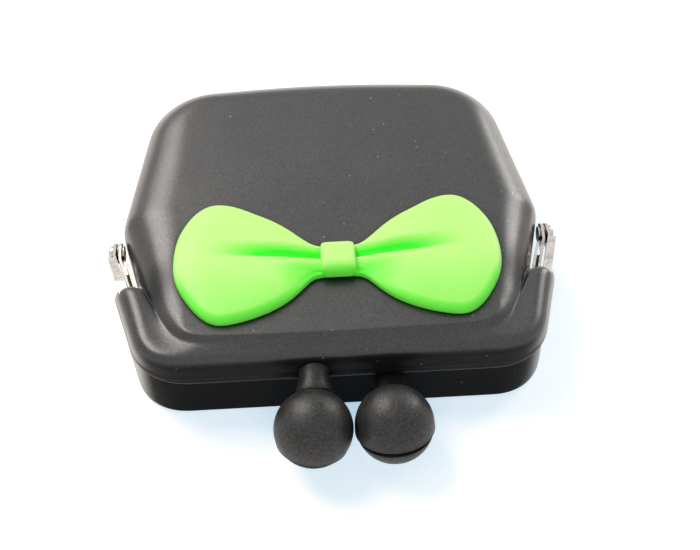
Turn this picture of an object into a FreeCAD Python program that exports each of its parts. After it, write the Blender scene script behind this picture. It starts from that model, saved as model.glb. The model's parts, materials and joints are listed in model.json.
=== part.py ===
import FreeCAD, Part
import math
import os

from FreeCAD import Vector

# All sizes are millimetres. A reach is a distance along Y from the hinge axis, which joins the two rivets.

# Silicone pouch
parting_height = 12.5           # resting face to the line where the two rims meet
pouch_height = 21.6
pouch_wall = 2.0
pouch_half_width = 49.7         # at the widest place, behind the hinge
pouch_widest_reach = 5.2
pouch_far_half_width = 42.5
pouch_far_reach = 49.5
pouch_far_bow = 2.9             # how far the middle of the far end swells past its corners
pouch_far_bow_radius = 600.0
pouch_rim_half_width = 45.1     # where the sides come out of the rims' ends
pouch_mouth_half_width = 42.3
pouch_mouth_reach = 31.6        # crease between the panel and the rim
shoulder_radius = 8.5
mouth_shoulder_radius = 2.0
far_corner_radius = 18.0
widest_corner_radius = 10.0
side_bend_radius = 30.0
mouth_corner_radius = 12.0
mouth_gap = 0.4

# Rims round the mouth, which sleeve the steel frames
rim_depth = 6.2                 # crease to the front of the rims
rim_overhang = 1.4              # how far the rims stand out past the pouch's sides
rim_end_reach = 12.4
rim_end_slant = 4.2             # how far the crest stops short of the lip at the rim's ends
rim_corner_radius = 12.0
front_rim_edge_radius = 3.6
back_rim_edge_radius = 1.2
front_panel_step = 1.7          # crest of the front rim to the front panel
back_panel_step = 0.5           # back panel to the crest of the back rim

# Strip of the front panel that bends when the mouth opens
flap_rear_reach = 6.5
flex_gap = 0.3
flex_end_reach = 15.5

# Steel frames, channels with their open sides facing, whose straps run on to the ears
strip_thickness = 0.6
strip_lip = 0.6                 # parting line to the near edge of the strip
strip_cover = 1.8               # far edge of the strip to the crest of the front rim
channel_width = 1.9
channel_end_gap = 1.0           # end of the channel to the bend before the ear
front_frame_inset = 2.6         # outside of the rim to the middle of the strap
frame_clearance = 0.1
arm_reach = 13.0                # where the arms start to slope towards the ears
ear_radius = 2.6
ear_bend_reach = 3.0
ear_bend_radius = 3.0

# Hinge rivets and the washers between the lapped ears
rivet_shank_radius = 1.1
rivet_head_radius = 2.1
rivet_head_height = 1.4
rivet_head_rounding = 0.8
rivet_tail_radius = 1.9
rivet_tail_height = 0.5
rivet_clearance = 0.05
washer_radius = 2.2
washer_thickness = 0.45

# Ball clasp
ball_radius = 8.5
ball_gap = 0.3
ball_drop = 2.2                 # parting line down to the middles of both balls
clasp_offset = 1.55             # the balls' middle, to the right of the pouch's middle
neck_radius = 4.0
neck_length = 3.8               # front of the rims to the near side of the ball
neck_gap = 0.6
bead_radius = 3.2
bead_clearance = 0.05
post_radius = 1.1
post_height = 2.4               # parting line to the post where it crosses the strip
post_clearance = 0.25
lean_clearance = 0.4
collar_radius = 2.2
collar_thickness = 0.7
collar_gap = 0.3

# Bow
bow_half_span = 36.8
bow_half_height = 17.8
bow_reach = 13.0                # hinge axis to the middle of the bow, towards the mouth
bow_offset = 0.4                # the bow's middle, to the right of the pouch's middle
bow_thickness = 3.4
bow_edge_radius = 1.6
knot_width = 7.8
knot_length = 8.8
knot_height = 4.0
knot_shift = 1.1                # middle of the wings to the middle of the knot
knot_corner_radius = 1.8
knot_edge_radius = 1.5
wing_outline_shares = [
    (0.11, 0.21), (0.33, 0.59), (0.52, 0.85), (0.76, 1.00), (0.92, 0.76), (1.00, 0.02),
    (0.92, -0.66), (0.71, -0.96), (0.48, -0.87), (0.24, -0.59), (0.11, -0.29),
]

# One overrun serves all cuts, and no rounding takes more than its share of the wall it lies on.
cut_overrun = 5.0
rounding_limit_share = 0.45      # where two roundings share a wall
crown_limit_share = 0.9          # where one rounding has the wall to itself
edge_tolerance = 0.01

x_axis = Vector(1, 0, 0)
y_axis = Vector(0, 1, 0)

# Values that follow from the sizes above
rim_reach = pouch_mouth_reach + rim_depth
rim_lip_half_width = pouch_mouth_half_width + rim_overhang
rim_end_half_width = pouch_half_width + rim_overhang
front_rim_height = pouch_height - front_panel_step - parting_height
back_rim_height = parting_height - back_panel_step
strip_width = front_rim_height - strip_lip - strip_cover
channel_depth = channel_width - strip_thickness
ball_reach = rim_reach + neck_length + ball_radius
side_slope = (rim_end_half_width - rim_lip_half_width) / (rim_reach - rim_end_reach)
side_stretch = math.hypot(1, side_slope)
ear_pitch = strip_thickness + washer_thickness + rivet_clearance + rivet_clearance
back_frame_inset = front_frame_inset + ear_pitch / side_stretch
space_half_width = rim_end_half_width + pouch_half_width
space_reach = pouch_far_reach + ball_reach
shoulder = min(shoulder_radius, rounding_limit_share * pouch_height)


# Closed wire in a level plane, with each corner rounded by its own radius.
def rounded_loop(corners, radii, height):
    points = [Vector(x, y, height) for x, y in corners]
    ends = []
    for index, corner in enumerate(points):
        before = points[index - 1] - corner
        after = points[(index + 1) % len(points)] - corner
        half_turn = before.getAngle(after) / 2
        room = rounding_limit_share * min(before.Length, after.Length)
        trim = min(radii[index] / math.tan(half_turn), room)
        start = corner + before.normalize() * trim
        end = corner + after.normalize() * trim
        bisector = (before + after).normalize()
        radius = trim * math.tan(half_turn)
        middle = corner + bisector * (radius / math.sin(half_turn) - radius)
        ends.append((start, middle, end))
    edges = []
    for index, (start, middle, end) in enumerate(ends):
        if radii[index] > 0:
            edges.append(Part.Arc(start, middle, end).toShape())
        edges.append(Part.LineSegment(end, ends[(index + 1) % len(ends)][0]).toShape())
    return Part.Wire(edges)


# Upright block over a rounded plan outline.
def plan_block(corners, radii, bottom, top):
    return Part.Face(rounded_loop(corners, radii, bottom)).extrude(Vector(0, 0, top - bottom))


# Block across the whole width, over an outline of (reach, height) points.
def side_block(outline):
    points = [Vector(-space_half_width, y, z) for y, z in outline]
    face = Part.Face(Part.makePolygon(points + points[:1]))
    return face.extrude(Vector(space_half_width + space_half_width, 0, 0))


# Corners of the right half, followed by their mirror images in reverse order.
def both_sides(right_corners):
    return right_corners + [(-x, y) for x, y in reversed(right_corners)]


# Open path moved sideways to its left, with mitred corners.
def offset_path(corners, distance):
    points = [Vector(x, y, 0) for x, y in corners]
    normals = []
    for first, second in zip(points, points[1:]):
        run = (second - first).normalize()
        normals.append(Vector(-run.y, run.x, 0))
    moved = []
    for index, point in enumerate(points):
        first = normals[max(index - 1, 0)]
        second = normals[min(index, len(normals) - 1)]
        shift = (first + second) * (distance / (1 + first.dot(second)))
        moved.append((point.x + shift.x, point.y + shift.y))
    return moved


def lies_at(edge, height):
    return max(abs(vertex.Z - height) for vertex in edge.Vertexes) < edge_tolerance


def mirrored(shape):
    return shape.mirror(Vector(0, 0, 0), x_axis)


def largest_solid(shape):
    return max(shape.Solids, key=lambda solid: solid.Volume)


# Pillow with big shoulders along its sides and far end, running on past the mouth.
def pillow(inset):
    mouth_slope = (pouch_rim_half_width - pouch_mouth_half_width) / (pouch_mouth_reach - rim_end_reach)
    run_on = pouch_mouth_reach + shoulder
    corners = both_sides([
        (pouch_mouth_half_width - mouth_slope * shoulder - inset, -run_on),
        (pouch_rim_half_width - inset, -rim_end_reach),
        (pouch_half_width - inset, pouch_widest_reach),
        (pouch_far_half_width - inset, pouch_far_reach - inset),
        (0, pouch_far_reach + pouch_far_bow - inset),
    ])
    corners.pop(len(corners) // 2)
    side_radii = [0, side_bend_radius, widest_corner_radius, far_corner_radius - inset]
    radii = side_radii + [pouch_far_bow_radius] + side_radii[::-1]
    top = pouch_height - inset
    block = plan_block(corners, radii, inset, top)
    edges = []
    for edge in block.Edges:
        across_mouth = edge.BoundBox.YMax < -pouch_mouth_reach
        if (lies_at(edge, inset) or lies_at(edge, top)) and not across_mouth:
            edges.append(edge)
    return block.makeFillet(shoulder - inset, edges)


# Block that ends the pillow at the crease behind the rims.
def mouth_block(inset):
    far = pouch_far_reach + pouch_far_bow + shoulder
    corners = both_sides([
        (pouch_mouth_half_width - inset, -pouch_mouth_reach + inset),
        (pouch_half_width + shoulder, pouch_widest_reach),
        (pouch_half_width + shoulder, far),
    ])
    radii = [mouth_corner_radius - inset, 0, 0, 0, 0, mouth_corner_radius - inset]
    return plan_block(corners, radii, inset, pouch_height - inset)


# Rim on one side of the parting line: 1 is the front rim, -1 the back rim.
def rim(side, height, edge_radius):
    end_half_width = rim_end_half_width + side_slope * rim_end_reach
    corners = both_sides([(rim_lip_half_width, -rim_reach), (end_half_width, 0)])
    radii = [rim_corner_radius, 0, 0, rim_corner_radius]
    crest = parting_height + side * height
    block = plan_block(corners, radii, min(parting_height, crest), max(parting_height, crest))
    edges = [edge for edge in block.Edges if lies_at(edge, crest) and edge.BoundBox.YMin < -rim_end_reach]
    block = block.makeFillet(min(edge_radius, rounding_limit_share * height), edges)
    slant = rim_end_slant / height
    low = parting_height - side * cut_overrun
    high = crest + side * cut_overrun
    ends = side_block([
        (-rim_end_reach + slant * cut_overrun, low),
        (-rim_end_reach - slant * (height + cut_overrun), high),
        (-rim_reach - cut_overrun, high),
        (-rim_reach - cut_overrun, low),
    ])
    return block.common(ends)


def pouch_moulding():
    body = pillow(0).common(mouth_block(0))
    crease_edges = []
    for edge in body.Edges:
        level = lies_at(edge, 0) or lies_at(edge, pouch_height)
        if level and edge.BoundBox.YMax < -pouch_mouth_reach + mouth_shoulder_radius:
            crease_edges.append(edge)
    body = body.makeFillet(mouth_shoulder_radius, crease_edges)
    cavity = pillow(pouch_wall).common(mouth_block(pouch_wall))
    front_rim = rim(1, front_rim_height, front_rim_edge_radius)
    back_rim = rim(-1, back_rim_height, back_rim_edge_radius)
    return body.fuse(front_rim).fuse(back_rim).cut(cavity)


# Middle of a strip in plan, at a reach along the slanting side of the rim.
def side_x(reach, inset):
    return rim_end_half_width + side_slope * (rim_end_reach - reach) - inset * side_stretch


# How far a channel reaches past its strap: the front one outwards, the back one inwards.
def channel_reaches(side):
    return channel_depth * (1 + side) / 2, channel_depth * (1 - side) / 2


# Ribbon along the rims that reaches outwards and inwards from a strap's path, over the whole height.
def ribbon(inset, outward, inward):
    bar = rim_reach - inset
    ear_x = side_x(ear_bend_reach, inset)
    right = [(side_x(bar, inset), -bar), (ear_x, -ear_bend_reach), (ear_x, ear_radius + cut_overrun)]
    path = [(-x, y) for x, y in reversed(right)] + right
    outer_corner = rim_corner_radius - inset + outward
    inner_corner = rim_corner_radius - inset - inward
    outer_radii = [0, ear_bend_radius, outer_corner, outer_corner, ear_bend_radius, 0]
    inner_radii = [0, ear_bend_radius, inner_corner, inner_corner, ear_bend_radius, 0]
    corners = offset_path(path, -outward) + offset_path(path, inward)[::-1]
    return plan_block(corners, outer_radii + inner_radii, -cut_overrun, pouch_height + cut_overrun)


# Side outline of a frame: level along the rims, then sloping to the hinge axis.
def frame_profile(side, clearance):
    near = parting_height + side * (strip_lip - clearance)
    far = parting_height + side * (strip_lip + strip_width + clearance)
    slope = Vector(0, arm_reach, parting_height - (near + far) / 2).normalize()
    rise = Vector(0, -slope.z, slope.y) * (ear_radius + clearance) * side
    return side_block([
        (-rim_reach - cut_overrun, near),
        (-arm_reach, near),
        (-rise.y, parting_height - rise.z),
        (rise.y, parting_height + rise.z),
        (-arm_reach, far),
        (-rim_reach - cut_overrun, far),
    ])


# Bar across the whole width on the hinge axis.
def hinge_bar(radius):
    start = Vector(-space_half_width, 0, parting_height)
    return Part.makeCylinder(radius, space_half_width + space_half_width, start, x_axis)


# Frame without its hollow and holes.
def frame_block(side, inset, clearance):
    half = strip_thickness / 2 + clearance
    outward, inward = channel_reaches(side)
    profile = frame_profile(side, clearance)
    channel_end = -ear_bend_reach - channel_end_gap
    channel_space = side_block([
        (-rim_reach - cut_overrun, -cut_overrun),
        (channel_end, -cut_overrun),
        (channel_end, pouch_height + cut_overrun),
        (-rim_reach - cut_overrun, pouch_height + cut_overrun),
    ])
    straps = ribbon(inset, half, half).common(profile.fuse(hinge_bar(ear_radius + clearance)))
    channel = ribbon(inset, half + outward, half + inward).common(profile).common(channel_space)
    return straps.fuse(channel)


def frame(side, inset):
    half = strip_thickness / 2
    outward, inward = channel_reaches(side)
    inside = frame_profile(side, 0)
    inside.translate(Vector(0, 0, -side * strip_thickness))
    hollow = ribbon(inset, outward - half, inward - half).common(inside)
    steel = frame_block(side, inset, 0).cut(hollow)
    return steel.cut(hinge_bar(rivet_shank_radius + rivet_clearance)).cut(frame_hole(side, inset))


def right_rivet():
    half = strip_thickness / 2 + rivet_clearance
    tail_x = side_x(ear_bend_reach, back_frame_inset) - half
    head_x = side_x(ear_bend_reach, front_frame_inset) + half
    seat = Vector(0, 0, parting_height)
    tail_end = seat + x_axis * (tail_x - rivet_tail_height)
    tail = Part.makeCylinder(rivet_tail_radius, rivet_tail_height, tail_end, x_axis)
    shank = Part.makeCylinder(rivet_shank_radius, head_x - tail_end.x, tail_end, x_axis)
    head = Part.makeCylinder(rivet_head_radius, rivet_head_height, seat + x_axis * head_x, x_axis)
    crown_edges = [edge for edge in head.Edges if edge.BoundBox.XMin > head_x + edge_tolerance]
    head = head.makeFillet(min(rivet_head_rounding, crown_limit_share * rivet_head_height), crown_edges)
    return shank.fuse(tail).fuse(head)


def right_washer():
    inner_x = side_x(ear_bend_reach, back_frame_inset) + strip_thickness / 2 + rivet_clearance
    seat = Vector(inner_x, 0, parting_height)
    ring = Part.makeCylinder(washer_radius, washer_thickness, seat, x_axis)
    return ring.cut(Part.makeCylinder(rivet_shank_radius + rivet_clearance, washer_thickness, seat, x_axis))


# Places of one clasp: its crossing of the frame bar, the foot of its neck and the middle of its ball.
def clasp_places(side, inset):
    x = clasp_offset - side * (ball_radius + ball_gap / 2)
    height = parting_height + side * post_height
    bar = Vector(x, -rim_reach + inset, height)
    foot = Vector(x, -rim_reach - neck_gap, height)
    middle = Vector(x, -ball_reach, parting_height - ball_drop)
    return bar, foot, middle


# Where the collar of a post seats, on the pouch side of its channel.
def collar_seat(side, inset):
    bar, foot, middle = clasp_places(side, inset)
    outward, inward = channel_reaches(side)
    return bar + y_axis * (strip_thickness / 2 + inward + collar_gap)


# Post cranked from its bar to the ball, with a collar behind the channel and a bead in the ball.
def clasp_post(side, inset, clearance):
    bar, foot, middle = clasp_places(side, inset)
    seat = collar_seat(side, inset)
    collar = Part.makeCylinder(collar_radius, collar_thickness, seat, y_axis)
    tenon = Part.makeCylinder(post_radius + clearance, seat.y + collar_thickness - foot.y, foot, y_axis)
    elbow = Part.makeSphere(post_radius + clearance, foot)
    stem = Part.makeCylinder(post_radius + clearance, (middle - foot).Length, foot, middle - foot)
    bead = Part.makeSphere(bead_radius + clearance, middle)
    return collar.fuse([tenon, elbow, stem, bead])


# Room that a leaning post needs in the rim.
def post_room(side, inset):
    bar, foot, middle = clasp_places(side, inset)
    depth = collar_seat(side, inset).y - bar.y + collar_thickness + collar_gap
    pocket = Part.makeCylinder(collar_radius + lean_clearance, depth, bar, y_axis)
    hole = Part.makeCylinder(post_radius + lean_clearance, bar.y - foot.y, foot, y_axis)
    return pocket.fuse(hole)


def frame_hole(side, inset):
    bar, foot, middle = clasp_places(side, inset)
    start = bar - y_axis * cut_overrun / 2
    return Part.makeCylinder(post_radius + post_clearance, cut_overrun, start, y_axis)


def clasp_ball(side, inset):
    bar, foot, middle = clasp_places(side, inset)
    lean = (middle - foot).normalize()
    start = foot - lean * neck_radius
    neck = Part.makeCylinder(neck_radius, (middle - start).Length, start, lean)
    behind = side_block([
        (foot.y, -cut_overrun),
        (0, -cut_overrun),
        (0, pouch_height + cut_overrun),
        (foot.y, pouch_height + cut_overrun),
    ])
    ball = neck.cut(behind).fuse(Part.makeSphere(ball_radius, middle))
    return ball.cut(clasp_post(side, inset, bead_clearance))


def bow_wings():
    right = [(x * bow_half_span, y * bow_half_height - bow_reach) for x, y in wing_outline_shares]
    points = [Vector(bow_offset + x, y, pouch_height) for x, y in both_sides(right)]
    outline = Part.BSplineCurve()
    outline.interpolate(Points=points, PeriodicFlag=True)
    wings = Part.Face(Part.Wire([outline.toShape()])).extrude(Vector(0, 0, bow_thickness))
    top_edges = [edge for edge in wings.Edges if lies_at(edge, pouch_height + bow_thickness)]
    return wings.makeFillet(min(bow_edge_radius, crown_limit_share * bow_thickness), top_edges)


def bow_knot():
    half_width = knot_width / 2
    half_length = knot_length / 2
    middle = -bow_reach - knot_shift
    right = [(half_width, middle - half_length), (half_width, middle + half_length)]
    corners = [(bow_offset + x, y) for x, y in both_sides(right)]
    top = pouch_height + knot_height
    block = plan_block(corners, [knot_corner_radius] * len(corners), pouch_height, top)
    top_edges = [edge for edge in block.Edges if lies_at(edge, top)]
    return block.makeFillet(min(knot_edge_radius, rounding_limit_share * knot_width), top_edges)


pouch = pouch_moulding()
lip = mouth_gap / 2
roof = pouch_height + cut_overrun
flap_slope = flap_rear_reach / (pouch_height - parting_height)
flap_space = side_block([
    (-space_reach, parting_height + lip),
    (flap_slope * lip, parting_height + lip),
    (flap_slope * (roof - parting_height), roof),
    (-space_reach, roof),
])
flex_space = side_block([
    (flex_gap - flap_slope * lip, parting_height - lip),
    (flex_gap + flap_slope * (roof - parting_height), roof),
    (flex_end_reach, roof),
    (flex_end_reach, parting_height - lip),
])
pocket_space = side_block([
    (flex_end_reach, parting_height - lip),
    (flex_end_reach, roof),
    (space_reach, roof),
    (space_reach, parting_height - lip),
])
back_space = side_block([
    (-space_reach, -cut_overrun),
    (space_reach, -cut_overrun),
    (space_reach, parting_height - lip),
    (-space_reach, parting_height - lip),
])

front_room = frame_block(1, front_frame_inset, frame_clearance).fuse(post_room(1, front_frame_inset))
back_room = frame_block(-1, back_frame_inset, frame_clearance).fuse(post_room(-1, back_frame_inset))
wings = bow_wings()
rivet = right_rivet()
washer = right_washer()
nodes = {
    "back_shell": pouch.common(back_space).cut(back_room),
    "front_pocket_shell": pouch.common(pocket_space),
    "front_flex_web": pouch.common(flex_space),
    "front_flap_shell": pouch.common(flap_space).cut(front_room),
    "front_frame": frame(1, front_frame_inset),
    "back_frame": frame(-1, back_frame_inset),
    "left_rivet": mirrored(rivet),
    "right_rivet": rivet,
    "left_washer": mirrored(washer),
    "right_washer": washer,
    "front_clasp_post": clasp_post(1, front_frame_inset, 0),
    "back_clasp_post": clasp_post(-1, back_frame_inset, 0),
    "front_ball": clasp_ball(1, front_frame_inset),
    "back_ball": clasp_ball(-1, back_frame_inset),
    "bow_wings": wings,
    "bow_knot": bow_knot().cut(wings),
}

# The origin lies under the middle of the whole part.
far_end = nodes["back_shell"].optimalBoundingBox(False, False).YMax
centring = Vector(0, (ball_reach + ball_radius - far_end) / 2, 0)
os.makedirs("parts", exist_ok=True)
for name, shape in nodes.items():
    solid = largest_solid(shape)
    solid.translate(centring)
    solid.exportStep("parts/" + name + ".step")
    print(name, len(shape.Solids), solid.isValid(), round(solid.Volume), solid.BoundBox)
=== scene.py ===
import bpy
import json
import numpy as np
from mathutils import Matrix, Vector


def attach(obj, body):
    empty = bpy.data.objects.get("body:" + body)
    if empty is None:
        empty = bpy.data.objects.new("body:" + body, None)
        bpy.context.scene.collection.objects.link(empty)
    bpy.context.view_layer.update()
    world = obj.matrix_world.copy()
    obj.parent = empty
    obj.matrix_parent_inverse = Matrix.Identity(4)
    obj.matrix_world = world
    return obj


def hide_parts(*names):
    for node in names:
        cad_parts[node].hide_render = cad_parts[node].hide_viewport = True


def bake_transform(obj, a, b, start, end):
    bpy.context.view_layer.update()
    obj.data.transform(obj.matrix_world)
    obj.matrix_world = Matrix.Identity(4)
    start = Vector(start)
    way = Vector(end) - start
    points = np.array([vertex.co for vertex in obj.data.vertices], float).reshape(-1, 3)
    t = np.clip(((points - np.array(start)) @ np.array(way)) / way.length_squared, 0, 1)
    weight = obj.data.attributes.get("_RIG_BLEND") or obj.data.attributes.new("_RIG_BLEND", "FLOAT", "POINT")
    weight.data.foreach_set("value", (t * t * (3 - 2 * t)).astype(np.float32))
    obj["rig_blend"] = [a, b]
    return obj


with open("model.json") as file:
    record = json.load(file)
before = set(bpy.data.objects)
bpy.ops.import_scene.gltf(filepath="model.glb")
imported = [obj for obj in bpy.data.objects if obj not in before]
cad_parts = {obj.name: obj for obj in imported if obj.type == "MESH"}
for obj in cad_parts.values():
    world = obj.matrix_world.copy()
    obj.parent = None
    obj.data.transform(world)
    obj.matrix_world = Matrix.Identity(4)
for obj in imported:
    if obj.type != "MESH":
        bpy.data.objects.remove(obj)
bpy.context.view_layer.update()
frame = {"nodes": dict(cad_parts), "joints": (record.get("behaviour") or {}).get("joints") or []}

import bmesh
import bpy
import json
import math
from mathutils import Matrix, Vector
from mathutils.kdtree import KDTree

millimetre = 0.001
hingeY = frame["joints"][0]["pos_m"][1]     # the rivets' line, in the frame
scene = bpy.context.scene
scene.view_settings.view_transform = "Standard"


# Places are given in millimetres from the middle of the hinge line, with height above the table.
def at(x, y, z):
    return Vector((x * millimetre, y * millimetre + hingeY, z * millimetre))


def mixed(first, second, share):
    return first + (second - first) * share


def eased(low, high, value):
    share = min(max((value - low) / (high - low), 0), 1)
    return share * share * (3 - 2 * share)


def startRing(name, points):
    bpy.ops.object.select_all(action="DESELECT")
    bpy.ops.mesh.primitive_circle_add(vertices=len(points), radius=1)
    piece = bpy.context.object
    piece.name = name
    piece.data.name = name
    piece.data.attributes.new("column", "INT", "POINT")
    piece.data.attributes.new("row", "INT", "POINT")
    for vertex, point in zip(piece.data.vertices, points):
        vertex.co = point
        piece.data.attributes["column"].data[vertex.index].value = vertex.index
    bpy.ops.object.mode_set(mode="EDIT")
    bpy.ops.mesh.select_mode(type="EDGE")
    bpy.ops.mesh.select_all(action="SELECT")
    return piece


# Smooth line through points.
def smoothLine(points, steps):
    line = []
    padded = [points[0] * 2 - points[1]] + points + [points[-1] * 2 - points[-2]]
    for p0, p1, p2, p3 in zip(padded, padded[1:], padded[2:], padded[3:]):
        for step in range(steps):
            t = step / steps
            line.append(0.5 * (2 * p1 + (p2 - p0) * t + (2 * p0 - 5 * p1 + 4 * p2 - p3) * t ** 2
                               + (3 * p1 - p0 - 3 * p2 + p3) * t ** 3))
    return line + [points[-1]]


# Points spread evenly along a line.
def spread(line, count):
    lengths = [0]
    for first, second in zip(line, line[1:]):
        lengths.append(lengths[-1] + (second - first).length)
    points = []
    index = 0
    for step in range(count):
        wanted = lengths[-1] * step / count
        while lengths[index + 1] < wanted:
            index += 1
        share = (wanted - lengths[index]) / (lengths[index + 1] - lengths[index])
        points.append(mixed(line[index], line[index + 1], share))
    return points


# The mesh in edit mode, with the layers that number its rings and the corners along them.
def openMesh(piece):
    mesh = bmesh.from_edit_mesh(piece.data)
    return mesh, mesh.verts.layers.int["column"], mesh.verts.layers.int["row"]


# Pulls a new ring out of the last one, with each corner at its own place.
def pullRing(piece, row, points):
    bpy.ops.mesh.extrude_edges_indiv()
    mesh, column, rowLayer = openMesh(piece)
    for vertex in mesh.verts:
        if vertex.select:
            vertex.co = points[vertex[column]]
            vertex[rowLayer] = row
    bmesh.update_edit_mesh(piece.data)


# Keeps a stretch of a ring sharp when the piece is smoothed.
def sharpenRing(piece, row, columns):
    mesh, column, rowLayer = openMesh(piece)
    floats = mesh.edges.layers.float
    crease = floats.get("crease_edge") or floats.new("crease_edge")
    for edge in mesh.edges:
        if all(end[rowLayer] == row and end[column] in columns for end in edge.verts):
            edge[crease] = 1
    bmesh.update_edit_mesh(piece.data)


# Closes a ring with a grid that starts at one of its corners.
def closeWithGrid(piece, row, corner, span):
    bpy.ops.mesh.select_all(action="DESELECT")
    mesh, column, rowLayer = openMesh(piece)
    mesh.select_history.clear()
    for edge in mesh.edges:
        edge.select_set(all(end[rowLayer] == row for end in edge.verts))
    for vertex in mesh.verts:
        if vertex[rowLayer] == row and vertex[column] == corner:
            mesh.select_history.add(vertex)
    bmesh.update_edit_mesh(piece.data)
    bpy.ops.mesh.fill_grid(span=span, offset=0, use_interp_simple=True)


def leaveEdit(piece, levels):
    bpy.ops.mesh.select_all(action="SELECT")
    bpy.ops.mesh.normals_make_consistent(inside=False)
    bpy.ops.object.mode_set(mode="OBJECT")
    for name in ("column", "row"):
        if name in piece.data.attributes:
            piece.data.attributes.remove(piece.data.attributes[name])
    smooth = piece.modifiers.new("smooth", "SUBSURF")
    smooth.levels = levels
    smooth.render_levels = levels
    bpy.ops.object.modifier_apply(modifier="smooth")
    bpy.ops.object.shade_smooth()
    return piece


def dress(piece, material):
    piece.data.materials.clear()
    piece.data.materials.append(material)


def newMaterial(name):
    material = bpy.data.materials.new(name)
    material.use_nodes = True
    tree = material.node_tree
    return material, tree, tree.nodes["Principled BSDF"]


def grey(level):
    return (level, level, level)


def setSockets(node, values):
    for name, value in values.items():
        node.inputs[name].default_value = value


def objectPlace(tree):
    return tree.nodes.new("ShaderNodeTexCoord").outputs["Object"]


def attributeNode(tree, name):
    attribute = tree.nodes.new("ShaderNodeAttribute")
    attribute.attribute_name = name
    return attribute.outputs["Fac"]


def noiseNode(tree, place, scale, detail, roughness):
    noise = tree.nodes.new("ShaderNodeTexNoise")
    setSockets(noise, {"Scale": scale, "Detail": detail, "Roughness": roughness})
    tree.links.new(place, noise.inputs["Vector"])
    return noise.outputs["Fac"]


def rampNode(tree, source, stops):
    ramp = tree.nodes.new("ShaderNodeValToRGB")
    while len(ramp.color_ramp.elements) < len(stops):
        ramp.color_ramp.elements.new(0.5)
    for element, (position, colour) in zip(ramp.color_ramp.elements, stops):
        element.position = position
        element.color = (*colour, 1)
    tree.links.new(source, ramp.inputs["Fac"])
    return ramp.outputs["Color"]


# What goes into a Math node is a socket or a plain number.
def mathNode(tree, operation, *sources):
    node = tree.nodes.new("ShaderNodeMath")
    node.operation = operation
    for socket, source in zip(node.inputs, sources):
        if isinstance(source, (int, float)):
            socket.default_value = source
        else:
            tree.links.new(source, socket)
    return node.outputs["Value"]


def rangeNode(tree, source, wanted, given=(0, 1)):
    node = tree.nodes.new("ShaderNodeMapRange")
    setSockets(node, dict(zip(("From Min", "From Max", "To Min", "To Max"), (*given, *wanted))))
    tree.links.new(source, node.inputs["Value"])
    return node.outputs["Result"]


def multiplyColours(tree, first, second):
    node = tree.nodes.new("ShaderNodeMixRGB")
    node.blend_type = "MULTIPLY"
    node.inputs["Fac"].default_value = 1
    tree.links.new(first, node.inputs["Color1"])
    tree.links.new(second, node.inputs["Color2"])
    return node.outputs["Color"]


occlusionSamples = 8


# How open a place is, from 0 deep in a crevice to 1 where nothing stands within reach.
def openNode(tree, reach):
    occlusion = tree.nodes.new("ShaderNodeAmbientOcclusion")
    occlusion.samples = occlusionSamples
    occlusion.inputs["Distance"].default_value = reach
    return occlusion.outputs["AO"]


def addGrain(tree, shader, grain, strength, height):
    bump = tree.nodes.new("ShaderNodeBump")
    setSockets(bump, {"Strength": strength, "Distance": height})
    tree.links.new(grain, bump.inputs["Height"])
    tree.links.new(bump.outputs["Normal"], shader.inputs["Normal"])


mouldedSilicone = {
    "cloudDetail": 4, "grainDetail": 3, "noiseRoughness": 0.6, "noiseRange": (0.3, 0.7), "dustFade": 2.2,
    "crevice": [(0.45, grey(0.1)), (0.9, grey(1))],     # painted shade: gloss, and through it the tone, falls in crevices by openness
    "shade": [(0.0, grey(0.3)), (0.5, grey(1))],     # painted shade: the tone darkens where gloss is low
    "grazing": (0.55, 0.85), "sheenRoughness": 0.3, "grainStrength": 0.35,
}
blackSilicone = {
    **mouldedSilicone, "name": "blackSilicone",
    "dark": (0.013, 0.013, 0.0135), "light": (0.019, 0.019, 0.019), "dust": (0.20, 0.19, 0.18),
    "roughness": (0.28, 0.35), "specular": (0.47, 0.83), "edgeShine": 6.0, "sheen": 0.06,
    "cloudScale": 60, "grainScale": 2300, "grainHeight": 0.00005, "creviceReach": 0.003,
    "dustScale": 420, "dustCut": 0.055, "dustShare": 0.2,
}
ballSilicone = {
    **mouldedSilicone, "name": "ballSilicone",
    "dark": (0.012, 0.012, 0.012), "light": (0.021, 0.0205, 0.02), "dust": (0.16, 0.15, 0.14),
    "roughness": (0.37, 0.50), "specular": (0.24, 0.62), "edgeShine": 1.0, "sheen": 0.0,
    "cloudScale": 260, "grainScale": 1900, "grainHeight": 0.00008, "creviceReach": 0.002,
    "dustScale": 700, "dustCut": 0.05, "dustShare": 0.10,
}
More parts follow.
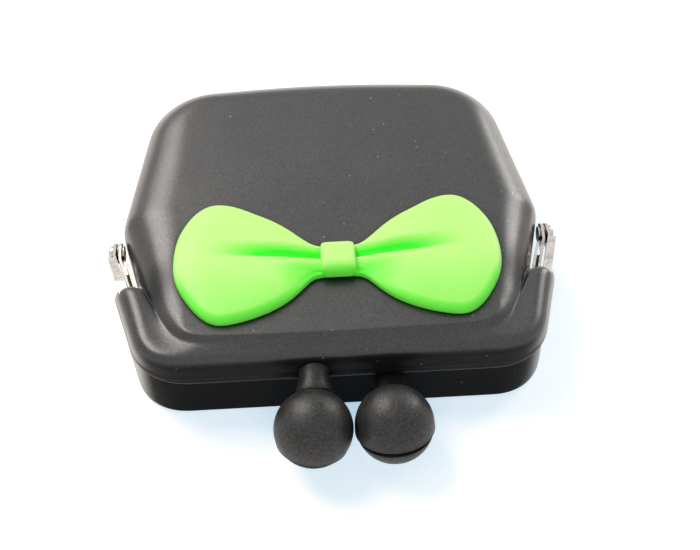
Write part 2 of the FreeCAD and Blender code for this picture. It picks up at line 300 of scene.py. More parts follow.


# Gloss attribute: 1 on open faces, lower where shade is painted; there and in crevices the shine drops and
# the tone darkens.
def makeBlackSilicone(look):
    material, tree, shader = newMaterial(look["name"])
    place = objectPlace(tree)
    cloud = noiseNode(tree, place, look["cloudScale"], look["cloudDetail"], look["noiseRoughness"])
    grain = noiseNode(tree, place, look["grainScale"], look["grainDetail"], look["noiseRoughness"])
    low, high = look["noiseRange"]
    tone = rampNode(tree, cloud, [(low, look["dark"]), (high, look["light"])])

    dust = tree.nodes.new("ShaderNodeTexVoronoi")     # a speck near some of the cell middles
    dust.inputs["Scale"].default_value = look["dustScale"]
    tree.links.new(place, dust.inputs["Vector"])
    speck = rampNode(tree, dust.outputs["Distance"],
                     [(look["dustCut"], grey(1)), (look["dustCut"] * look["dustFade"], grey(0))])
    rare = tree.nodes.new("ShaderNodeSeparateColor")
    tree.links.new(dust.outputs["Color"], rare.inputs["Color"])
    chosen = mathNode(tree, "LESS_THAN", rare.outputs["Red"], look["dustShare"])
    paint = tree.nodes.new("ShaderNodeMixRGB")
    paint.inputs["Color2"].default_value = (*look["dust"], 1)
    tree.links.new(mathNode(tree, "MULTIPLY", speck, chosen), paint.inputs["Fac"])
    tree.links.new(tone, paint.inputs["Color1"])

    # painted shade: crevices and low-gloss places get a darker base tone
    opened = rampNode(tree, openNode(tree, look["creviceReach"]), look["crevice"])
    lit = mathNode(tree, "MULTIPLY", attributeNode(tree, "glossAndShade"), opened)
    shaded = multiplyColours(tree, paint.outputs["Color"], rampNode(tree, lit, look["shade"]))
    tree.links.new(shaded, shader.inputs["Base Color"])

    finish = rangeNode(tree, cloud, look["roughness"], look["noiseRange"])
    tree.links.new(finish, shader.inputs["Roughness"])
    shine = mathNode(tree, "MULTIPLY", rangeNode(tree, grain, look["specular"], look["noiseRange"]), lit)
    facing = tree.nodes.new("ShaderNodeLayerWeight").outputs["Facing"]     # more gloss at grazing angles
    grazing = rangeNode(tree, facing, (1, look["edgeShine"]), look["grazing"])
    tree.links.new(mathNode(tree, "MULTIPLY", shine, grazing), shader.inputs["Specular IOR Level"])
    setSockets(shader, {"Sheen Weight": look["sheen"], "Sheen Roughness": look["sheenRoughness"]})
    addGrain(tree, shader, grain, look["grainStrength"], look["grainHeight"])
    return material


limeSilicone = {
    # painted highlight on crests, plain faces, painted shade in folds
    "tones": [(0.03, (0.53, 0.93, 0.26)), (0.45, (0.28, 0.92, 0.12)), (1.0, (0.03, 0.92, 0.015))],
    "cloudScale": 90, "cloudDetail": 3, "cloudShare": 0.06, "noiseRoughness": 0.5,
    "grainScale": 1800, "grainDetail": 2, "grainStrength": 0.2, "grainHeight": 0.00003,
    "sockets": {"Roughness": 0.45, "Specular IOR Level": 0.3, "Subsurface Weight": 0.4,
                "Subsurface Radius": (0.5, 1.0, 0.3), "Subsurface Scale": 0.0022},
}


# The fold attribute paints light: 0 on the crests gives a pale painted highlight, 1 in folds and on shaded
# sides a deep painted shade.
def makeLimeSilicone(look):
    material, tree, shader = newMaterial("limeSilicone")
    place = objectPlace(tree)
    cloud = noiseNode(tree, place, look["cloudScale"], look["cloudDetail"], look["noiseRoughness"])
    # painted light: pale painted highlights on crests, deep painted shade in folds
    drift = mathNode(tree, "MULTIPLY_ADD", cloud, look["cloudShare"], attributeNode(tree, "foldShade"))
    tree.links.new(rampNode(tree, drift, look["tones"]), shader.inputs["Base Color"])
    grain = noiseNode(tree, place, look["grainScale"], look["grainDetail"], look["noiseRoughness"])
    addGrain(tree, shader, grain, look["grainStrength"], look["grainHeight"])
    setSockets(shader, look["sockets"])
    return material


nickelSteel = {
    "tones": [(0.3, (0.40, 0.37, 0.33)), (0.62, (0.66, 0.63, 0.59))],     # dull and bright
    "roughness": (0.34, 0.12), "smearScale": 500, "smearDetail": 4, "smearRoughness": 0.6,
    # painted shade: brown darkening in the steel's gaps and crevices, by openness
    "gapShade": [(0.35, (0.09, 0.06, 0.04)), (0.8, grey(1))], "gapShadeReach": 0.0014,
}


def makeNickelSteel(look):
    material, tree, shader = newMaterial("nickelSteel")
    place = objectPlace(tree)
    smear = noiseNode(tree, place, look["smearScale"], look["smearDetail"], look["smearRoughness"])
    tone = rampNode(tree, smear, look["tones"])
    # painted shade in the gaps between the steel parts and in their crevices
    gapShade = rampNode(tree, openNode(tree, look["gapShadeReach"]), look["gapShade"])
    tree.links.new(multiplyColours(tree, tone, gapShade), shader.inputs["Base Color"])
    tree.links.new(rangeNode(tree, smear, look["roughness"]), shader.inputs["Roughness"])
    shader.inputs["Metallic"].default_value = 1
    return material


black = makeBlackSilicone(blackSilicone)
ballBlack = makeBlackSilicone(ballSilicone)
lime = makeLimeSilicone(limeSilicone)
nickel = makeNickelSteel(nickelSteel)
print("materials ready")

# Plan of the pouch, right half: the front's middle is column 0 and the far end's middle the last one.
pouchPlan = {
    "rimCorner": (43.7, -37.8), "rimLean": 0.2913, "rimRadius": 12.0,
    "mouthCorner": (40.57, -29.6), "mouthLean": 0.1458, "mouthRadius": 10.0,
    "rimEnd": -12.4, "endSlant": 4.2, "endRounding": (1.5, 0.44), "endGap": 0.05, "shoulderGap": 1.0,
    "wallCorners": [(43.99, -20.0), (45.1, -12.4), (49.7, 5.2), (42.5, 49.5), (0.0, 52.4)],
    "wallRadii": [30.0, 10.0, 18.0, 280.9],
    "frontColumns": 16, "cornerColumns": 8, "sideColumns": 9,
    "hingeColumns": 9, "widestColumns": 3, "wallColumns": 9, "farCornerColumns": 10, "farColumns": 15,
}
cornerStart = pouchPlan["frontColumns"]
cornerEnd = cornerStart + pouchPlan["cornerColumns"]
rimLast = cornerEnd + pouchPlan["sideColumns"]
wallFirst = rimLast + 1
widestStart = wallFirst + pouchPlan["hingeColumns"]
widestEnd = widestStart + pouchPlan["widestColumns"]
farStart = widestEnd + pouchPlan["wallColumns"]
farEnd = farStart + pouchPlan["farCornerColumns"]
halfColumns = farEnd + pouchPlan["farColumns"]
panelSpan = halfColumns // 2


# Rounding at a corner between two directions that lead away from it.
def rounding(corner, first, second, radius):
    half = first.angle(second) / 2
    trim = radius / math.tan(half)
    centre = corner + (first + second).normalized() * (radius / math.sin(half))
    start = corner + first * trim
    end = corner + second * trim
    startAngle = math.atan2(start.y - centre.y, start.x - centre.x)
    turn = math.atan2(end.y - centre.y, end.x - centre.x) - startAngle
    turn = (turn + math.pi) % (2 * math.pi) - math.pi
    return {"start": start, "end": end, "centre": centre, "radius": radius, "angle": startAngle, "turn": turn}


# Place on a rounding and the way out of the pouch, which a hollow bend turns round.
def onRounding(arc, share):
    angle = arc["angle"] + arc["turn"] * share
    ray = Vector((math.cos(angle), math.sin(angle)))
    return arc["centre"] + ray * arc["radius"], ray * math.copysign(1, arc["turn"])


def mouthPath(corner, lean, radius):
    side = Vector((lean, 1)).normalized()
    arc = rounding(Vector(corner), Vector((-1, 0)), side, radius)
    return {"arc": arc, "side": side}


rimPath = mouthPath(pouchPlan["rimCorner"], pouchPlan["rimLean"], pouchPlan["rimRadius"])
innerPath = mouthPath(pouchPlan["mouthCorner"], pouchPlan["mouthLean"], pouchPlan["mouthRadius"])


# Place and outward direction of a rim column on one of the mouth's paths.
def onMouth(path, column, endY):
    arc = path["arc"]
    if column <= cornerStart:
        return Vector((arc["start"].x * column / cornerStart, arc["start"].y)), Vector((0, -1))
    if column <= cornerEnd:
        return onRounding(arc, (column - cornerStart) / (cornerEnd - cornerStart))
    rest = rimLast - column
    lastFull = endY - pouchPlan["endRounding"][0]
    if rest >= 2:
        y = mixed(arc["end"].y, lastFull, (column - cornerEnd) / (rimLast - 2 - cornerEnd))
    else:
        y = endY - (pouchPlan["endRounding"][1] if rest else 0)
    side = path["side"]
    return arc["end"] + side * ((y - arc["end"].y) / side.y), Vector((side.y, -side.x))


wallCorners = [Vector(corner) for corner in pouchPlan["wallCorners"]]
mirroredCorner = Vector((-wallCorners[-2].x, wallCorners[-2].y))
wallArcs = []
for index, radius in enumerate(pouchPlan["wallRadii"], start=1):
    before = (wallCorners[index - 1] - wallCorners[index]).normalized()
    after = ((wallCorners + [mirroredCorner])[index + 1] - wallCorners[index]).normalized()
    wallArcs.append(rounding(wallCorners[index], before, after, radius))

# The wall as straight and rounded stretches with their lengths.
# Half of the last rounding belongs to this side.
wallRuns = []
runStart = wallCorners[0]
for index, arc in enumerate(wallArcs):
    wallRuns.append(((arc["start"] - runStart).length, runStart, arc["start"]))
    share = 0.5 if index == len(wallArcs) - 1 else 1
    wallRuns.append((abs(arc["turn"]) * arc["radius"] * share, arc, share))
    runStart = arc["end"]


def onWall(distance):
    for length, first, second in wallRuns:
        if distance <= length + 1e-9:
            share = min(max(distance / length, 0), 1)
            if isinstance(first, dict):
                return onRounding(first, share * second)
            run = (second - first).normalized()
            return first + run * distance, Vector((run.y, -run.x))
        distance -= length
    return onRounding(wallArcs[-1], 0.5)


def wallMark(count):
    return sum(run[0] for run in wallRuns[:count])


wallRise = (wallCorners[1] - wallCorners[0]).normalized().y
wallMarks = [
    (widestStart, wallMark(3)), (widestEnd, wallMark(4)), (farStart, wallMark(5)), (farEnd, wallMark(6)),
    (halfColumns, wallMark(8)),
]


# Place and outward direction of a wall column, whose stretch starts at the rim's slanting end.
def wallColumn(column, startY):
    lastColumn, lastMark = wallFirst, (startY - wallCorners[0].y) / wallRise
    for markColumn, mark in wallMarks:
        if column <= markColumn:
            return onWall(mixed(lastMark, mark, (column - lastColumn) / (markColumn - lastColumn)))
        lastColumn, lastMark = markColumn, mark


# What both halves of the pouch share.
skinShape = {
    "rows": 25, "support": 1.6, "wallRadius": 8.5, "wall": 2.0, "lineSteps": 24,
    "evenColumns": 3, "evenDepth": 6,     # deep corners follow the direction of the columns near them
    "sideRange": (28, 38), "edgeRange": (34, 42),     # x where the front turns into the side
    "aheadRange": (0.25, 0.8), "levelRange": (0.1, 0.6),     # forward faces get painted shade, less on faces that look up
    "nook": (40.4, -16.5), "nookReach": (1.0, 5.0), "nookSquash": 0.55,     # painted shade and dimmed shine beside the rim's end
}
# Crease corners: x, y, depth under the panel and width of the shoulder above.
# Band corners: x, y and depth of the rim's inner edge.
frontSkin = {
    **skinShape,
    "name": "frontSkin", "panel": 21.6, "down": -1, "parting": 9.06, "wallParting": 9.09,
    "crest": 1.7, "dish": 0.2, "edge": (2.2, 4.0), "bead": 0.22, "beadHeight": 0.7, "lip": 0.95,
    "frontInset": (0.0, 0.0), "sideInset": (0.0, 0.0),
    "stretch": 0.35, "groove": 0.28, "cornerMarks": (3, 7), "dullFace": 0.9, "dullNook": 0.6,
    "crease": [
        (0, -33.2, 0.35, 0.6), (10, -33.1, 0.35, 0.6), (20, -32.95, 0.35, 0.6), (29.5, -32.6, 0.38, 0.65),
        (33.3, -31.75, 0.55, 1.05), (35.9, -29.95, 1.0, 2.4), (38.0, -27.4, 1.6, 4.2),
        (39.7, -24.4, 2.05, 5.3), (41.2, -20.8, 2.6, 6.0), (42.3, -18.2, 3.2, 6.6), (43.39, -15.3, 4.0, 7.2),
    ],
    "band": [
        (0, -34.3, 0.98), (10, -34.2, 0.98), (20, -34.05, 0.98), (29.9, -33.6, 1.15),
        (33.9, -32.55, 1.55), (36.5, -30.5, 1.85), (38.6, -27.7, 2.0), (40.25, -24.7, 2.1),
        (41.7, -21.0, 2.12), (42.8, -18.4, 2.15), (43.75, -16.34, 2.15),
    ],
}
backSkin = {
    **skinShape,
    "name": "backSkin", "panel": 0.0, "down": 1, "parting": 12.44, "wallParting": 12.49,
    "crest": 0.3, "dish": 0.0, "edge": (0.7, 0.7), "bead": 0.0, "beadHeight": 0.8, "lip": 0.0,
    "frontInset": (0.2, 1.7), "sideInset": (0.2, 0.6),
    "stretch": 0.0, "groove": 0.12, "cornerMarks": (3, 5), "dullFace": 0.93, "dullNook": 0.0,
    "crease": [
        (0, -31.2, 0.65, 1.4), (10, -31.2, 0.65, 1.4), (20, -31.2, 0.65, 1.4), (27.5, -31.0, 0.65, 1.5),
        (34.0, -28.4, 0.65, 2.2), (37.2, -24.5, 0.65, 2.9), (38.4, -20.5, 0.65, 3.2),
        (39.2, -16.55, 0.65, 3.27),
    ],
    "band": [
        (0, -31.85, 0.45), (10, -31.85, 0.45), (20, -31.85, 0.45), (27.7, -31.65, 0.45),
        (34.45, -28.9, 0.45), (37.8, -24.8, 0.45), (39.05, -20.6, 0.45), (39.85, -16.6, 0.45),
    ],
}


# One corner for each rim column, along a line that runs from the front's middle to the rim's end.
def alongMouth(marks, cornerMarks):
    line = smoothLine([Vector(mark) for mark in marks], skinShape["lineSteps"])
    first, second = (mark * skinShape["lineSteps"] for mark in cornerMarks)
    stretches = [(line[:first + 1], "frontColumns"), (line[first:second + 1], "cornerColumns"),
                 (line[second:], "sideColumns")]
    points = [point for stretch, key in stretches for point in spread(stretch, pouchPlan[key])]
    return points + [line[-1]]


for skin in (frontSkin, backSkin):
    skin["creaseLine"] = alongMouth(skin["crease"], skin["cornerMarks"])
    skin["bandLine"] = alongMouth(skin["band"], skin["cornerMarks"])


def rimEndY(skin, depth):
    rise = (skin["parting"] - depth) / (skin["parting"] - skin["crest"])
    return pouchPlan["rimEnd"] - pouchPlan["endSlant"] * min(max(rise, 0), 1)


# Rows 1 to 5 bend the shoulder evenly.
def shoulderBend(turn, row):
    return turn * max(row - 1, 0) / 4


# How far round a bent strip each shoulder row lies, as share of depth and of width.
def shoulderRow(turn, row):
    bend = shoulderBend(turn, row)
    return (1 - math.cos(bend)) / (1 - math.cos(turn)), 1 - math.sin(bend) / math.sin(turn)


# One corner of a skin on a rim column, as plan place and depth from the panel.
def rimCorner(skin, column, row):
    rest = rimLast - column
    shrink = pouchPlan["endRounding"][rest] if rest < 2 else 0
    crest, parting = skin["crest"], skin["parting"]
    crease, band = skin["creaseLine"][column], skin["bandLine"][column]
    sideShare = eased(*skin["sideRange"], crease.x)
    edge = mixed(*skin["edge"], eased(*skin["edgeRange"], crease.x))
    lip = skin["lip"] * (1 - sideShare)     # the front's lip hangs over the back rim
    if row <= 5:     # shoulder, down to the crease
        deep, wide = shoulderRow(2 * math.atan2(crease[2], crease[3]), row)
        out = onMouth(innerPath, column, pouchPlan["rimEnd"])[1]
        inward = crease[3] * wide + (skin["support"] if row == 0 else 0)
        return crease.xy - out * inward, crease[2] * deep
    if row == 6:     # groove between crease and rim
        groove = mixed((crease[2] + band[2]) / 2, crease[2] + skin["groove"], sideShare)
        return mixed(crease.xy, band.xy, 0.4), groove
    if row == 7:     # inner edge of the rim
        return band.xy, band[2] + shrink * 0.5
    if row == 8:     # dish along the middle of the rim
        inner, innerDepth = rimCorner(skin, column, 7)
        outer, outerDepth = rimCorner(skin, column, 9)
        return (inner + outer) / 2, (innerDepth + outerDepth) / 2 + skin["dish"] * sideShare
    if row <= 12:     # rounded outer edge
        bend = math.radians(30 * (row - 9))     # 30 degrees a row
        inward = edge * (1 - math.sin(bend)) + shrink * math.sin(bend)
        depth = crest + edge * (1 - math.cos(bend)) + shrink * math.cos(bend)
    elif row <= 17:     # outer face, bead and lip
        top = parting - skin["beadHeight"]
        inward, depth = [
            (0, mixed(crest + edge, top, 0.7)), (0, top - 0.2), (-skin["bead"], top + 0.1),
            (-skin["bead"], parting - 0.2 + lip), (0.12, parting + lip),
        ][row - 13]
        inward += shrink
    elif row <= 19:     # underside of the lip
        inward, depth = [(0.62, parting + lip * 0.95), (mixed(0.85, 1.6, sideShare), parting)][row - 18]
        inward += shrink
    else:     # inside of the rim and of the panel
        inward, depth = [
            (0, parting), (0, parting - 0.5), (0, parting * 0.55),
            (0.3, skin["wall"] + 0.6), (1.2, skin["wall"]),
        ][row - 20]
        place, out = onMouth(innerPath, column, rimEndY(skin, depth))
        return place - out * inward, depth
    place, out = onMouth(rimPath, column, rimEndY(skin, depth))
    low, high = (mixed(skin["frontInset"][end], skin["sideInset"][end], sideShare) for end in (0, 1))
    return place - out * (inward + mixed(low, high, depth / parting)), depth


# The same on a wall column.
def wallCorner(skin, column, row):
    radius, parting, thickness = skin["wallRadius"], skin["wallParting"], skin["wall"]
    crease = skin["creaseLine"][rimLast]
    creaseTurn = 2 * math.atan2(crease[2], crease[3])
    flatter = eased(wallFirst, widestStart, column) * (1 - eased(widestEnd, farEnd, column))
    reach = radius * (1 + skin["stretch"] * flatter)
    if row <= 15:     # shoulder and bend of the wall
        bend = shoulderBend(creaseTurn, row)
        if row > 5:
            bend = mixed(creaseTurn, math.pi / 2, (row - 5) / 10)
        inward = reach * (1 - math.sin(bend)) + (skin["support"] if row == 0 else 0)
        depth = radius * (1 - math.cos(bend))
    elif row <= 20:     # foot of the wall and its parting face
        inward, depth = [
            (0, parting - 0.4), (0, parting - 0.15), (0, parting),
            (thickness / 2, parting), (thickness, parting),
        ][row - 16]
    else:     # inside of the bend
        bend = math.radians(30 * (24 - row))
        inward = thickness + (reach - thickness) * (1 - math.sin(bend))
        depth = thickness + (radius - thickness) * (1 - math.cos(bend))
    startY = rimEndY(skin, depth) + (pouchPlan["shoulderGap"] / 2 if row == 6 else pouchPlan["endGap"])
    if row <= 5:
        startY = crease.y + pouchPlan["shoulderGap"]
    reachColumns = skin["evenColumns"]
    near = range(max(column - reachColumns, wallFirst), min(column + reachColumns, halfColumns) + 1)
    out = sum((wallColumn(other, startY)[1] for other in near), Vector((0, 0))).normalized()
    place, square = wallColumn(column, startY)
    return place - mixed(square, out, eased(0, skin["evenDepth"], inward)).normalized() * inward, depth


def makeSkin(skin):
    def ringPoints(row):
        half = []
        for column in range(halfColumns + 1):
            corner = rimCorner if column <= rimLast else wallCorner
            place, depth = corner(skin, column, row)
            half.append((place.x, place.y, skin["panel"] + skin["down"] * depth))
        right = [at(*point) for point in half]
        left = [at(-x, y, z) for x, y, z in half[1:-1]]
        return right + left[::-1]

    piece = startRing(skin["name"], ringPoints(0))
    for row in range(1, skin["rows"]):
        pullRing(piece, row, ringPoints(row))
    walls = set(range(wallFirst + 1, 2 * halfColumns - wallFirst))
    sharpenRing(piece, 18, walls)
    sharpenRing(piece, 20, walls)
    for row in (0, skin["rows"] - 1):
        closeWithGrid(piece, row, panelSpan // 2, panelSpan)
    leaveEdit(piece, 1)
    # painted shade: forward faces and the place beside each rim end get low gloss, a darker tone and less
    # shine
    glossAndShade = piece.data.attributes.new("glossAndShade", "FLOAT", "POINT")
    nookX, nookY = skin["nook"]
    for vertex in piece.data.vertices:
        ahead = eased(*skin["aheadRange"], -vertex.normal.y)
        ahead *= 1 - eased(*skin["levelRange"], vertex.normal.z)
        away = at(math.copysign(nookX, vertex.co.x), nookY, 0).xy - vertex.co.xy
        distance = math.hypot(away.x, skin["nookSquash"] * away.y) / millimetre
        hidden = 1 - eased(*skin["nookReach"], distance)
        glossAndShade.data[vertex.index].value = (1 - skin["dullFace"] * ahead) * (1 - skin["dullNook"] * hidden)
    return piece


frontPouch = makeSkin(frontSkin)
backPouch = makeSkin(backSkin)
for skinPiece in (frontPouch, backPouch):
    dress(skinPiece, black)
print("pouch halves", len(frontPouch.data.polygons), len(backPouch.data.polygons))

claspBall = {
    "radius": 8.55, "centreY": -50.1, "centreZ": 10.3, "columns": 48,
    "firstRing": 40, "lastRing": 160, "ringStep": 7.5, "seamClear": 2.5,     # in degrees from the ball's top
    # distance below the seam in millimetres, and height of the skin there
    "seam": [(-1.2, 0.0), (-0.45, 0.03), (-0.12, 0.12), (0.0, 0.12), (0.12, 0.0), (0.3, -0.08), (0.8, -0.12),
             (1.6, -0.12), (2.8, -0.12), (30.0, -0.12)],
    # the same distance, and gloss of the skin there; low gloss paints a shadow in the groove under the seam
    "seamGlossAndShadow": [(-0.25, 1.0), (-0.05, 0.5), (0.05, 0.0), (1.2, 0.0), (1.9, 0.8), (30.0, 0.8)],
    "rimFace": -37.8, "rootDepth": 0.25, "flareLength": 1.3, "flareShares": (0, 0.1, 0.3, 0.6, 1),
    "footRadius": 0.82, "sunk": (0.3, 1.6),
    "neckRings": [(0.5, 0.35), (0.85, 0.8)],     # share of the way to the ball, and to the full width
    # painted shade: the neck's gloss, and with it its tone, falls on faces that look down
    "neckGlossAndShade": (0.1, 0.75), "neckTurn": (-0.2, 0.6),
    "front": {
        "x": -7.1, "footX": -6.3, "footZ": 14.2, "neck": (4.1, 3.8),
        "seamDrop": 3.9, "seamUp": (0.12, 0.32, 0.94),
    },
    "back": {
        "x": 10.2, "footX": 10.2, "footZ": 9.7, "neck": (3.9, 2.6),
        "seamDrop": 1.0, "seamUp": (-0.067, 0.325, 0.943),
    },
}


# Value between marks, which are pairs of distance and value.
def onMarks(marks, below, beyond):
    for (first, firstValue), (second, secondValue) in zip(marks, marks[1:]):
        if first <= below <= second:
            return mixed(firstValue, secondValue, (below - first) / (second - first))
    return beyond


def ringAngles(count):
    return [2 * math.pi * index / count for index in range(count)]


# The ball's rings lie level with its seam and stand close together there.
def makeRound(name, side, look):
    middle = Vector((side["x"], look["centreY"], look["centreZ"]))
    radius = look["radius"]
    up = Vector(side["seamUp"]).normalized()
    across = (Vector((1, 0, 0)) - up * up.x).normalized()
    ahead = up.cross(across)
    seamTurn = math.degrees(math.acos(-side["seamDrop"] / radius))
    degree = math.pi * radius / 180     # one degree along the ball, in millimetres
    turns = [seamTurn + mark[0] / degree for mark in look["seam"][:-1]]
    seamStart, seamEnd = turns[0] - look["seamClear"], turns[-1] + look["seamClear"]
    turn = look["firstRing"]
    while turn <= look["lastRing"]:
        if not seamStart < turn < seamEnd:
            turns.append(turn)
        turn += look["ringStep"]
    turns.sort()

    def ring(turn):
        reach = radius * math.sin(math.radians(turn))
        centre = middle + up * (radius * math.cos(math.radians(turn)))
        points = []
        for angle in ringAngles(look["columns"]):
            points.append(at(*(centre + (across * math.cos(angle) + ahead * math.sin(angle)) * reach)))
        return points

    piece = startRing(name, ring(turns[0]))
    for row, turn in enumerate(turns[1:], start=1):
        pullRing(piece, row, ring(turn))
    for row in (0, len(turns) - 1):
        closeWithGrid(piece, row, 0, look["columns"] // 4)
    leaveEdit(piece, 1)
    centre = at(*middle)
    # painted shadow: low gloss darkens a band under the seam and slightly the ball's lower part
    glossAndShade = piece.data.attributes.new("glossAndShade", "FLOAT", "POINT")
    for vertex in piece.data.vertices:
        ray = (vertex.co - centre).normalized()
        below = (math.degrees(ray.angle(up)) - seamTurn) * degree
        vertex.co = centre + ray * ((radius + onMarks(look["seam"], below, 0)) * millimetre)
        glossAndShade.data[vertex.index].value = onMarks(look["seamGlossAndShadow"], below, 1)
    return piece


# A round neck that leaves the rim square to its face and ends inside the ball.
def makeNeck(name, side, look):
    foot = Vector((side["footX"], look["rimFace"], side["footZ"]))
    middle = Vector((side["x"], look["centreY"], look["centreZ"]))
    axis = (middle - foot).normalized()
    length = (middle - foot).length
    across = Vector((1, 0, 0))
    upright = axis.cross(across)
    meeting = length - look["radius"]
    wide, high = side["neck"]
    rings = []
    slim = look["footRadius"]
    for share in look["flareShares"]:
        level = mixed(Vector((0, 0, 1)), upright, share).normalized()
        rings.append((mixed(-look["rootDepth"], look["flareLength"], share), slim, level))
    for share, growth in look["neckRings"]:
        rings.append((mixed(look["flareLength"], meeting, share), mixed(slim, 1, growth), upright))
    for depth in look["sunk"]:
        rings.append((meeting + depth, 1, upright))

    def ring(along, width, level):
        points = []
        for angle in ringAngles(look["columns"]):
            offset = across * (wide * width * math.cos(angle)) + level * (high * width * math.sin(angle))
            points.append(at(*(foot + axis * along + offset)))
        return points

    piece = startRing(name, ring(*rings[0]))
    bpy.ops.mesh.edge_face_add()
    mesh = bmesh.from_edit_mesh(piece.data)
    for edge in mesh.edges:
        edge.select_set(True)
    bmesh.update_edit_mesh(piece.data)
    for row, entry in enumerate(rings[1:], start=1):
        pullRing(piece, row, ring(*entry))
    bpy.ops.mesh.edge_face_add()
    leaveEdit(piece, 1)
    # painted shade: the neck's underside gets low gloss and a darker tone
    glossAndShade = piece.data.attributes.new("glossAndShade", "FLOAT", "POINT")
    for vertex in piece.data.vertices:
        glossAndShade.data[vertex.index].value = mixed(*look["neckGlossAndShade"], eased(*look["neckTurn"], vertex.normal.z))
    return piece


def makeBall(name, side, look):
    ball = makeRound(name, side, look)
    makeNeck(name + "Neck", side, look)     # it stays selected
    ball.select_set(True)
    bpy.context.view_layer.objects.active = ball
    bpy.ops.object.join()
    return ball


frontBall = makeBall("frontClaspBall", claspBall["front"], claspBall)
backBall = makeBall("backClaspBall", claspBall["back"], claspBall)
for ball in (frontBall, backBall):
    dress(ball, ballBlack)
print("clasp balls", len(frontBall.data.polygons), len(backBall.data.polygons))

bow = {
    "x": 0.4, "y": -13.0, "base": 21.5, "halfSpan": 36.6, "waist": (3.2, -5.0), "side": 18, "lineSteps": 12,
    "outline": [
        (4.5, 3.3), (7.5, 5.6), (10.8, 8.9), (14.5, 11.8), (18.2, 14.0), (22.0, 16.2), (25.3, 17.3),
        (28.2, 17.4), (30.6, 16.2), (32.8, 14.0), (34.5, 11.2), (35.8, 8.2), (36.6, 4.6), (36.95, 0.6),
        (36.7, -3.4), (35.7, -7.0), (34.2, -10.0), (32.4, -12.9), (30.3, -15.4), (28.0, -16.9), (25.5, -17.2),
        (21.5, -16.4), (18.0, -15.2), (14.6, -13.6), (11.2, -11.3), (8.4, -8.5), (6.2, -6.0), (4.5, -5.1),
    ],
    "upperCorner": (31.0, 15.9), "lowerCorner": (29.6, -16.0),
    # how far inside the outline and how high each ring of the edge lies
    "edgeRows": [(0.3, 0.0), (0.0, 0.15), (0.0, 0.8), (0.06, 1.3), (0.28, 1.8), (0.75, 2.2), (1.6, 2.5)],
    "lobe": 0.6, "lobeReach": 6.0, "lobeFade": (-0.1, 0.45), "pinch": 0.35, "pinchFade": (0.05, 0.35),
    "foldDepth": 1.25, "foldRise": 0.1, "foldFade": (0.3, 0.85), "foldAt": -0.9, "foldMargin": 1.2,
    "foldWall": 0.7, "foldWallGrowth": 1.5, "foldSlope": (3.6, 4.8),
    "lowerDip": 0.55, "lowerFade": (0.1, 0.5), "lowerStart": (0.6, 4.0), "raised": (0.5, 1),
    # painted shade: where else the deep green is painted (low side, front side, lower brink), and how strong
    # it is in each of its places
    "lowSide": (0.3, 0.98), "frontSide": (2, -14), "brink": (-2, -9), "brinkWidth": (0.6, 2.6),
    "dipTone": 1.4, "lowTone": 0.6, "frontTone": 0.3, "lowerTone": 0.8, "brinkTone": 0.65,
}


def wingOutline(look):
    upperWaist, lowerWaist = (Vector((0, waist)) for waist in look["waist"])
    marks = [upperWaist] + [Vector(point) for point in look["outline"]] + [lowerWaist]
    line = smoothLine(marks, look["lineSteps"])
    cornerIndex = []
    for key in ("upperCorner", "lowerCorner"):
        corner = Vector(look[key])
        cornerIndex.append(min(range(len(line)), key=lambda index: (line[index] - corner).length))
    upper, lower = cornerIndex
    side = look["side"]
    points = spread(line[:upper + 1], side) + spread(line[upper:lower + 1], side) + spread(line[lower:], side)
    points += spread([line[-1], line[0]], side)
    return line, points


# Height of a wing above its rounded edge, how deep in the fold the place lies and how far under its ridge.
def wingRelief(look, x, y, edgeDistance):
    share = x / look["halfSpan"]
    puff = look["lobe"] * eased(0, look["lobeReach"], edgeDistance) * eased(*look["lobeFade"], share)
    offset = y - (look["foldAt"] + look["foldRise"] * x)
    if offset < 0:
        dip = 1 - eased(0, look["foldWall"] + look["foldWallGrowth"] * share, -offset)
    else:
        dip = 1 - eased(0, mixed(*look["foldSlope"], share), offset)
    dip = dip * (1 - eased(*look["foldFade"], share)) * eased(0, look["foldMargin"], edgeDistance)
    lower = (1 - eased(*look["lowerFade"], share)) * eased(*look["lowerStart"], -offset)
    pinch = look["pinch"] * (1 - eased(*look["pinchFade"], share))
    return puff - pinch - look["foldDepth"] * dip - look["lowerDip"] * lower, dip, lower


def makeWing(look):
    line, outline = wingOutline(look)
    count = len(outline)

    def ring(inward, height):
        points = []
        for index, point in enumerate(outline):
            run = (outline[(index + 1) % count] - outline[index - 1]).normalized()
            inside = Vector((run.y, -run.x))
            moved = point + inside * inward
            points.append(Vector((moved.x, moved.y, height)))
        return points

    rows = look["edgeRows"]
    piece = startRing("bowWings", ring(*rows[0]))
    for row, entry in enumerate(rows[1:], start=1):
        pullRing(piece, row, ring(*entry))
    for row in (0, len(rows) - 1):
        closeWithGrid(piece, row, 0, look["side"])
    leaveEdit(piece, 2)
    tree = KDTree(len(line))
    for index, point in enumerate(line):
        tree.insert((point.x, point.y, 0), index)
    tree.balance()
    # painted light: pale crests, deep green in folds and on low, front and lower sides
    foldShade = piece.data.attributes.new("foldShade", "FLOAT", "POINT")
    top = rows[-1][1]
    for vertex in piece.data.vertices:
        x, y, z = vertex.co
        distance = tree.find((x, y, 0))[2]
        relief, dip, lower = wingRelief(look, x, y, distance)
        vertex.co.z += relief * eased(*look["raised"], z / top)
        low = 1 - eased(*look["lowSide"], z / top)
        front = eased(*look["frontSide"], y)
        brink = eased(*look["brink"], y) * (1 - eased(*look["brinkWidth"], distance))
        foldShade.data[vertex.index].value = max(
            min(1, look["dipTone"] * dip), look["lowTone"] * low, look["frontTone"] * front,
            look["lowerTone"] * lower, look["brinkTone"] * brink)
    return piece


